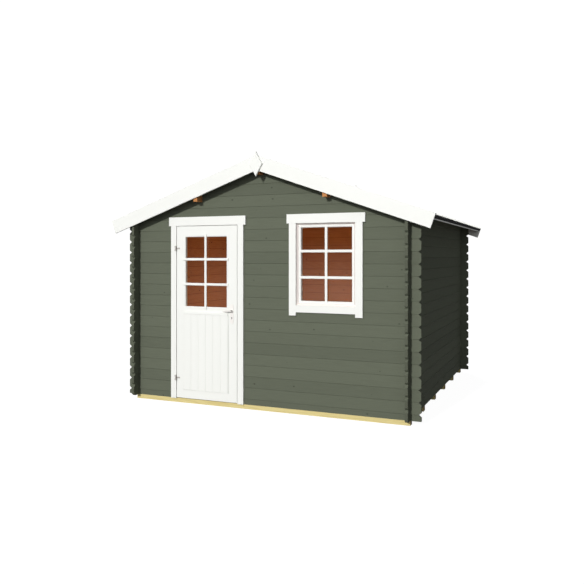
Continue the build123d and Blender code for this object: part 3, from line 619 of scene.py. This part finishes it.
# Door glazing: a bead flush with the leaf, and bars planted over it whose ends lap onto the leaf
glass_low, glass_high = box_of("door_glass")
leaf_low, leaf_high = box_of("door_stile_left")
DOOR_BEAD = 18 * MM
BAR_LAP = 27 * MM
pane = (glass_low.x, glass_high.x, glass_low.z, glass_high.z)
bead_depth = glass_low.y - leaf_low.y
shape = bmesh.new()
bead_profile = [
    (0, 0),
    (0, bead_depth),
    (DOOR_BEAD, bead_depth),
    (DOOR_BEAD, 5 * MM),
    (DOOR_BEAD - 3 * MM, 1.5 * MM),
    (DOOR_BEAD - 6 * MM, 0),
]
moulded_frame(shape, pane, [(inset, -out) for inset, out in bead_profile], leaf_low.y)
room_bead_depth = leaf_high.y - glass_high.y
moulded_frame(
    shape,
    pane,
    [
        (0, 0),
        (0, -room_bead_depth),
        (DOOR_BEAD - 6 * MM, -room_bead_depth),
        (DOOR_BEAD, -room_bead_depth + 6 * MM),
        (DOOR_BEAD, 0),
    ],
    glass_high.y,
)
piece("door_glazing_beads", shape, white_upright, "door", 0.5 * MM)
sight = (pane[0] + DOOR_BEAD, pane[1] - DOOR_BEAD, pane[2] + DOOR_BEAD, pane[3] - DOOR_BEAD)
grid_outside = (sight[0] - BAR_LAP, sight[1] + BAR_LAP, sight[2] - BAR_LAP, sight[3] + BAR_LAP)
glazing_grid("door_glazing_bars", "door", grid_outside, leaf_low.y, 0.0, 10 * MM)

# Window glazing: a bead planted on the sash, and bars across it from edge to edge
glass_low, glass_high = box_of("window_glass")
sash_low, sash_high = box_of("window_sash")
WINDOW_BEAD = 26 * MM
GLASS_FIT = 0.3 * MM
sight = (
    glass_low.x - GLASS_FIT,
    glass_high.x + GLASS_FIT,
    glass_low.z - GLASS_FIT,
    glass_high.z + GLASS_FIT,
)
window_outside = (
    sight[0] - WINDOW_BEAD,
    sight[1] + WINDOW_BEAD,
    sight[2] - WINDOW_BEAD,
    sight[3] + WINDOW_BEAD,
)
shape = bmesh.new()
bead_front = 9 * MM
moulded_frame(
    shape,
    window_outside,
    [
        (0, 0),
        (0, bead_front - 2 * MM),
        (2 * MM, bead_front),
        (WINDOW_BEAD - 6 * MM, bead_front),
        (WINDOW_BEAD - 1 * MM, bead_front - 5 * MM),
        (WINDOW_BEAD, 0),
    ],
    sash_low.y,
)
piece("window_glazing_beads", shape, white_upright, "cabin", 0.5 * MM)
glazing_grid("window_glazing_bars", "cabin", window_outside, sash_low.y, 0.0, 11 * MM)

# A splayed strip lines the window's frame, from just behind the trims to the sash's face
frame_low = box_of("window_frame")[0]
SASH_GAP = 3 * MM
clear = (
    sash_low.x - SASH_GAP,
    sash_high.x + SASH_GAP,
    sash_low.z - SASH_GAP,
    sash_high.z + SASH_GAP,
)
deep = sash_low.y - frame_low.y - GLASS_FIT
shape = bmesh.new()
moulded_frame(
    shape,
    clear,
    [(0, -deep), (0, 2 * MM), (1 * MM, 3 * MM), (16.5 * MM, 2 * MM - deep), (16.5 * MM, -deep)],
    frame_low.y,
)
# the strips' lighter, warmer white is painted bounce light
piece("window_reveal_strips", shape, white_lining_painted_bounce, "cabin", 0.5 * MM)

# Door: a weather bar over the top of the boarding, its front leaning out to a drip edge
panel_low, panel_high = box_of("door_panel")
WEATHER_BAR = 30 * MM
bar_top = panel_high.z + 2 * MM
shape = bmesh.new()
prism(
    shape,
    [
        (leaf_low.y, bar_top),
        (panel_low.y - 2 * MM, bar_top),
        (panel_low.y - 4 * MM, bar_top - 2 * MM),
        (panel_low.y - 6 * MM, bar_top - WEATHER_BAR),
        (panel_low.y - 3 * MM, bar_top - WEATHER_BAR),
        (panel_low.y - 3 * MM, bar_top - WEATHER_BAR + 3 * MM),
        (panel_low.y, bar_top - WEATHER_BAR + 3 * MM),
        (panel_low.y, panel_high.z),
        (leaf_low.y, panel_high.z),
    ],
    lambda y, z: panel_low.x,
    lambda y, z: panel_high.x,
    lambda y, z, x: (x, y, z),
)
piece("door_weather_bar", shape, white_level, "door", 0.6 * MM)

# Door: a thin bead round the boarding's sides and foot, with a quirk between the two
QUIRK = 2 * MM
PANEL_BEAD = 8 * MM
bead_out = 4 * MM
bead_top = bar_top - WEATHER_BAR
bead_edges = (panel_low.x - QUIRK, panel_high.x + QUIRK, panel_low.z - QUIRK)
bead_profile = [(0, 0), (0, bead_out - 1 * MM), (2 * MM, bead_out), (6 * MM, bead_out)]
bead_profile += [(PANEL_BEAD, bead_out - 2 * MM), (PANEL_BEAD, 0)]
shape = bmesh.new()
loops = []
for away, out in bead_profile:
    left, right, foot = bead_edges[0] - away, bead_edges[1] + away, bead_edges[2] - away
    line = ((left, bead_top), (left, foot), (right, foot), (right, bead_top))
    loops.append([shape.verts.new((x, leaf_low.y - out, z)) for x, z in line])
for loop, following in zip(loops, loops[1:] + loops[:1]):
    for corner in range(3):
        shape.faces.new(
            (loop[corner], loop[corner + 1], following[corner + 1], following[corner])
        )
for end in (0, 3):
    shape.faces.new([loop[end] for loop in loops])
piece("door_panel_bead", shape, white_upright, "door", 0.4 * MM)

# Floor: tongued boards from front to back, a small V at each joint, notched round the door frame
deck_low, deck_high = box_of("floor_deck")
frame_left = box_of("door_jamb_left")[0]
frame_right = box_of("door_jamb_right")[1]
FLOOR_FIT = 0.3 * MM
notch = (frame_left.x - FLOOR_FIT, frame_right.x + FLOOR_FIT, frame_right.y + FLOOR_FIT)
FLOOR_V = 2 * MM


def board_runs():
    """Each floor board's two edges, with a board split where the door frame's notch starts."""
    width = FLOOR_BOARD * MM
    first = int(deck_low.x / width) - 1
    for number in range(first, -first + 1):
        left = max(number * width, deck_low.x)
        right = min((number + 1) * width, deck_high.x)
        if right <= left:
            continue
        stops = [left] + [edge for edge in notch[:2] if left < edge < right] + [right]
        for low, high in zip(stops, stops[1:]):
            yield low, high, low == left, high == right


shape = bmesh.new()
for low, high, v_left, v_right in board_runs():
    front = notch[2] if low >= notch[0] and high <= notch[1] else deck_low.y
    top, bottom = deck_high.z, deck_low.z
    outline = [(low, bottom), (low, top - FLOOR_V), (low + FLOOR_V, top)]
    if not v_left:
        outline = [(low, bottom), (low, top)]
    if v_right:
        outline += [(high - FLOOR_V, top), (high, top - FLOOR_V), (high, bottom)]
    else:
        outline += [(high, top), (high, bottom)]
    prism(
        shape,
        outline,
        lambda x, z: front,
        lambda x, z: deck_high.y,
        lambda x, z, y: (x, y, z),
    )
floor_boards = piece("floor_boards", shape, pine_floor, "cabin")
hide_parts("floor_deck")

# Roof boards: from ridge to eave, a V at each joint on the room side
board_low, board_high = box_of("roof_boards_right")
ridge_height = board_high.z - ROOF_BOARD / cos(ROOF_ANGLE)
board_length = (board_high.x - ROOF_BOARD * sin(ROOF_ANGLE)) / cos(ROOF_ANGLE)
ROOF_V = 3 * MM
MITRE = 0.3 * MM


def on_roof(side):
    """Turns (along Y, square to the slope, down the slope) into a point of one slope."""

    def place(y, height, down):
        x = down * cos(ROOF_ANGLE) + height * sin(ROOF_ANGLE)
        return (side * x, y, ridge_height - down * sin(ROOF_ANGLE) + height * cos(ROOF_ANGLE))

    return place


def ridge_mitre(y, height):
    return MITRE - height * tan(ROOF_ANGLE)


for side, hand in ((-1, "left"), (1, "right")):
    shape = bmesh.new()
    count = round((board_high.y - board_low.y) / (ROOF_BOARD_WIDTH * MM))
    width = (board_high.y - board_low.y) / count
    for number in range(count):
        low = board_low.y + number * width
        high = low + width
        prism(
            shape,
            [
                (low, ROOF_V),
                (low + ROOF_V, 0),
                (high - ROOF_V, 0),
                (high, ROOF_V),
                (high, ROOF_BOARD),
                (low, ROOF_BOARD),
            ],
            ridge_mitre,
            lambda y, height: board_length,
            on_roof(side),
        )
    made = piece(f"roof_boarding_{hand}", shape, pine_roof, "cabin")
    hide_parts(f"roof_boards_{hand}")

# Roofing felt: the upper sheet laps the lower one, a cap goes over the ridge, clout nails hold both
felt_front = box_of("verge_strips_front")[1].y
SHEET = 1.6 * MM
SHEET_LAP = 0.86  # metres from the ridge to the lower edge of the upper sheet
CAP_WING = 0.16  # how far the ridge cap comes down each slope
FELT_TOP = ROOF_BOARD + FELT


def felt_sheet(name, stations):
    """A sheet of felt from front to back over the given (side, distance down the slope) line.

    It lies on what is below, lifts a little at its free edges and is not quite flat.
    """
    shape = bmesh.new()
    rows = []
    steps = 90
    for step in range(steps + 1):
        y = felt_front * (1 - 2 * step / steps)
        row = []
        for side, down, base in stations:
            ripple = noise.noise(Vector((y * 2.3, down * 3.0, side * 5.0))) * 0.9 * MM
            height = FELT_TOP + base + SHEET + 0.3 * MM + max(ripple, -0.2 * MM)
            down_here = down if down else MITRE - height * tan(ROOF_ANGLE)
            row.append(shape.verts.new(on_roof(side)(y, height, down_here)))
        rows.append(row)
    for row, following in zip(rows, rows[1:]):
        for i in range(len(row) - 1):
            shape.faces.new((row[i], row[i + 1], following[i + 1], following[i]))
    made = piece(name, shape, felt_finish, "cabin")
    thick = made.modifiers.new("sheet thickness", "SOLIDIFY")
    thick.thickness = SHEET
    thick.offset = -1.0
    return made


LIFT = 1.2 * MM
for side, hand in ((-1, "left"), (1, "right")):
    felt_sheet(
        f"felt_upper_sheet_{hand}",
        [
            (side, 0.02, 0.0),
            (side, 0.3, 0.0),
            (side, 0.6, 0.0),
            (side, SHEET_LAP - 0.05, 0.0),
            (side, SHEET_LAP, LIFT),
        ],
    )
wings = [0.002, 0.03, 0.08, CAP_WING - 0.03, CAP_WING]
cap_line = [(-1, down, SHEET + (LIFT if down == CAP_WING else 0.0)) for down in reversed(wings)]
cap_line += [(1, down, SHEET + (LIFT if down == CAP_WING else 0.0)) for down in wings]
felt_sheet("felt_ridge_cap", cap_line)


def nail_heads(shape, centres, normal, radius, rise):
    """Domed nail heads at the centres, facing along normal."""
    turn = Vector((0, 0, 1)).rotation_difference(Vector(normal)).to_matrix().to_4x4()
    for centre in centres:
        bmesh.ops.create_cone(
            shape,
            cap_ends=True,
            segments=10,
            radius1=radius,
            radius2=radius * 0.55,
            depth=rise,
            matrix=Matrix.Translation(centre) @ turn,
        )


NAIL_SPACING = 0.1
shape = bmesh.new()
for side in (-1, 1):
    normal = (side * sin(ROOF_ANGLE), 0, cos(ROOF_ANGLE))
    for down, base in ((SHEET_LAP - 0.025, 0.5 * LIFT), (CAP_WING - 0.02, SHEET + 0.5 * LIFT)):
        count = int(2 * abs(felt_front) / NAIL_SPACING)
        places = [
            on_roof(side)(
                felt_front * (1 - (2 * n + 1) / count), FELT_TOP + base + SHEET + 1.0 * MM, down
            )
            for n in range(count)
        ]
        nail_heads(shape, places, normal, 5 * MM, 1.2 * MM)
piece("felt_nails", shape, galvanised, "cabin")

# Hinge screws, plate screws and the keyway behind the keyhole: a dark steel disc on the leaf's
# face, partly the lock's steel and partly painted shade of the keyhole's cavity
arm_low, arm_high = box_of("hinge_sockets")
leaf_face = leaf_low.y
shape = bmesh.new()
hinge_rise = 2.5 * MM
knuckle = 18 * MM
for height in (arm_low.z + knuckle / 2, arm_high.z - knuckle / 2):
    for along in (15 * MM, 30 * MM):
        place = (leaf_low.x + along, leaf_face - hinge_rise, height)
        nail_heads(shape, [place], (0, -1, 0), 3.2 * MM, 1 * MM)
piece("hinge_screws", shape, dull_nickel, "door", 0.2 * MM)

plate_low, plate_high = box_of("handle_plates")
plate_x = (plate_low.x + plate_high.x) / 2
shape = bmesh.new()
for height in (plate_low.z + 14 * MM, plate_high.z - 14 * MM):
    for face, out in ((plate_low.y, -1), (plate_high.y, 1)):
        nail_heads(shape, [(plate_x, face + out * 0.3 * MM, height)], (0, out, 0), 4 * MM, 0.8 * MM)
piece("plate_screws", shape, nickel, "door", 0.2 * MM)

KEYHOLE = 76 * MM  # below the lever's axis
KEYWAY = 26 * MM
joints = {joint["name"]: joint for joint in frame["record"]["behaviour"]["joints"]}
keyhole_height = joints["lever_turn"]["pos_m"][2] - KEYHOLE
# the disc sits flat on the leaf; its dark steel paints the shade that the keyhole's cavity would
# hold
shape = bmesh.new()
for face, out in ((leaf_low.y, -1), (leaf_high.y, 1)):
    place = (plate_x, face + out * 0.3 * MM, keyhole_height)
    nail_heads(shape, [place], (0, out, 0), KEYWAY / 2, 0.5 * MM)
piece("keyway", shape, dark_steel_painted_shade, "door")

# Stage: a white floor that keeps a trace of the cabin's shadow
MIRRORED = 0.6  # how bright the panes see the ground
shape = bmesh.new()
bmesh.ops.create_circle(shape, cap_ends=True, segments=96, radius=14)
mesh = bpy.data.meshes.new("studio_floor")
shape.to_mesh(mesh)
shape.free()
floor = bpy.data.objects.new("studio_floor", mesh)
bpy.context.scene.collection.objects.link(floor)
floor_look = bpy.data.materials.new("white studio floor")
floor_look.use_nodes = True
tree = floor_look.node_tree
tree.nodes.clear()
seen = add(tree, "ShaderNodeLightPath")
glow = add(tree, "ShaderNodeEmission", {"Color": (1, 1, 1, 1), "Strength": 0.96})
paper = add(tree, "ShaderNodeBsdfDiffuse", {"Color": (0.15, 0.15, 0.15, 1)})
both = add(tree, "ShaderNodeAddShader", {0: glow.outputs[0], 1: paper.outputs[0]})
mirrored = add(tree, "ShaderNodeEmission", {"Color": (1, 1, 1, 1), "Strength": MIRRORED})
picked = add(
    tree,
    "ShaderNodeMixShader",
    {0: seen.outputs["Is Camera Ray"], 1: paper.outputs[0], 2: both.outputs[0]},
)
picked = add(
    tree,
    "ShaderNodeMixShader",
    {0: seen.outputs["Is Glossy Ray"], 1: picked.outputs[0], 2: mirrored.outputs[0]},
)
add(tree, "ShaderNodeOutputMaterial", {0: picked.outputs[0]})
mesh.materials.append(floor_look)

world = bpy.data.worlds.new("studio")
bpy.context.scene.world = world
world.use_nodes = True
tree = world.node_tree
tree.nodes.clear()
seen = add(tree, "ShaderNodeLightPath")
backdrop = add(tree, "ShaderNodeBackground", {"Color": (1, 1, 1, 1), "Strength": 1.05})
place = add(tree, "ShaderNodeTexCoord")
toward = add(tree, "ShaderNodeSeparateXYZ", {0: place.outputs["Generated"]})
soft = add(
    tree, "ShaderNodeMapRange", {0: toward.outputs[1], 1: 0.0, 2: -1.0, 3: 0.14, 4: 0.9}
)
fill = add(
    tree, "ShaderNodeBackground", {"Color": linear("#FCFDFF"), "Strength": soft.outputs[0]}
)
# what the panes mirror: pale ground that fades out just above the horizon and to the left
ground = add(
    tree, "ShaderNodeMapRange", {0: toward.outputs[2], 1: 0.025, 2: -0.055, 3: 0.0, 4: MIRRORED}
)
leftward = add(
    tree, "ShaderNodeMapRange", {0: toward.outputs[0], 1: -0.62, 2: -0.325, 3: 0.0, 4: 1.0}
)
mirrored = add(
    tree, "ShaderNodeMath", {0: ground.outputs[0], 1: leftward.outputs[0]}, operation="MULTIPLY"
)
dim = add(
    tree, "ShaderNodeBackground", {"Color": (1, 1, 1, 1), "Strength": mirrored.outputs[0]}
)
unseen = add(
    tree,
    "ShaderNodeMixShader",
    {0: seen.outputs["Is Glossy Ray"], 1: fill.outputs[0], 2: dim.outputs[0]},
)
picked = add(
    tree,
    "ShaderNodeMixShader",
    {0: seen.outputs["Is Camera Ray"], 1: unseen.outputs[0], 2: backdrop.outputs[0]},
)
add(tree, "ShaderNodeOutputWorld", {0: picked.outputs[0]})


# Light: a broad lamp far in front, a little left and 21 degrees up, a weaker one behind on the
# left, and a soft one in the room
def lamp(name, kind, power, colour, place, settings):
    data = bpy.data.lights.new(name, kind)
    data.energy = power
    data.color = linear(colour)[:3]
    for key, value in settings.items():
        setattr(data, key, value)
    made = bpy.data.objects.new(name, data)
    made.matrix_world = place
    made.visible_camera = made.visible_transmission = False
    bpy.context.scene.collection.objects.link(made)
    return made


key_direction = Vector((-0.15, -1.0, 0.39))
lamp(
    "key_light",
    "SUN",
    2.6,
    "#FFFEFC",
    key_direction.to_track_quat("Z", "Y").to_matrix().to_4x4(),
    {"angle": radians(3)},
)
lamp(
    "back_light",
    "SUN",
    1.8,
    "#F6FAFF",
    Vector((-0.6, 1.0, 0.45)).to_track_quat("Z", "Y").to_matrix().to_4x4(),
    {"angle": radians(12)},
)
lamp(
    "room_light",
    "POINT",
    30,
    "#FFE2C0",
    Matrix.Translation((-0.1, 0.1, 0.75)),
    {"shadow_soft_size": 0.3},
)

# Camera: a standing person's eye height, level, 2.8 m right of the middle, turned to the cabin
IMAGE = 584  # the photograph's width and height in pixels
FOCAL = 648.95  # the lens's focal length in those pixels
HORIZON = 256.4  # the photograph's row at eye height
camera_data = bpy.data.cameras.new("camera")
camera_data.sensor_width = 36
camera_data.lens = FOCAL * 36 / IMAGE
camera_data.shift_y = (HORIZON - IMAGE / 2) / IMAGE
camera = bpy.data.objects.new("camera", camera_data)
camera.location = (2.824, -7.346, 1.541)
camera.rotation_euler = (pi / 2, 0, radians(23.09))
bpy.context.scene.collection.objects.link(camera)
bpy.context.scene.camera = camera
bpy.context.scene.view_settings.view_transform = "Standard"
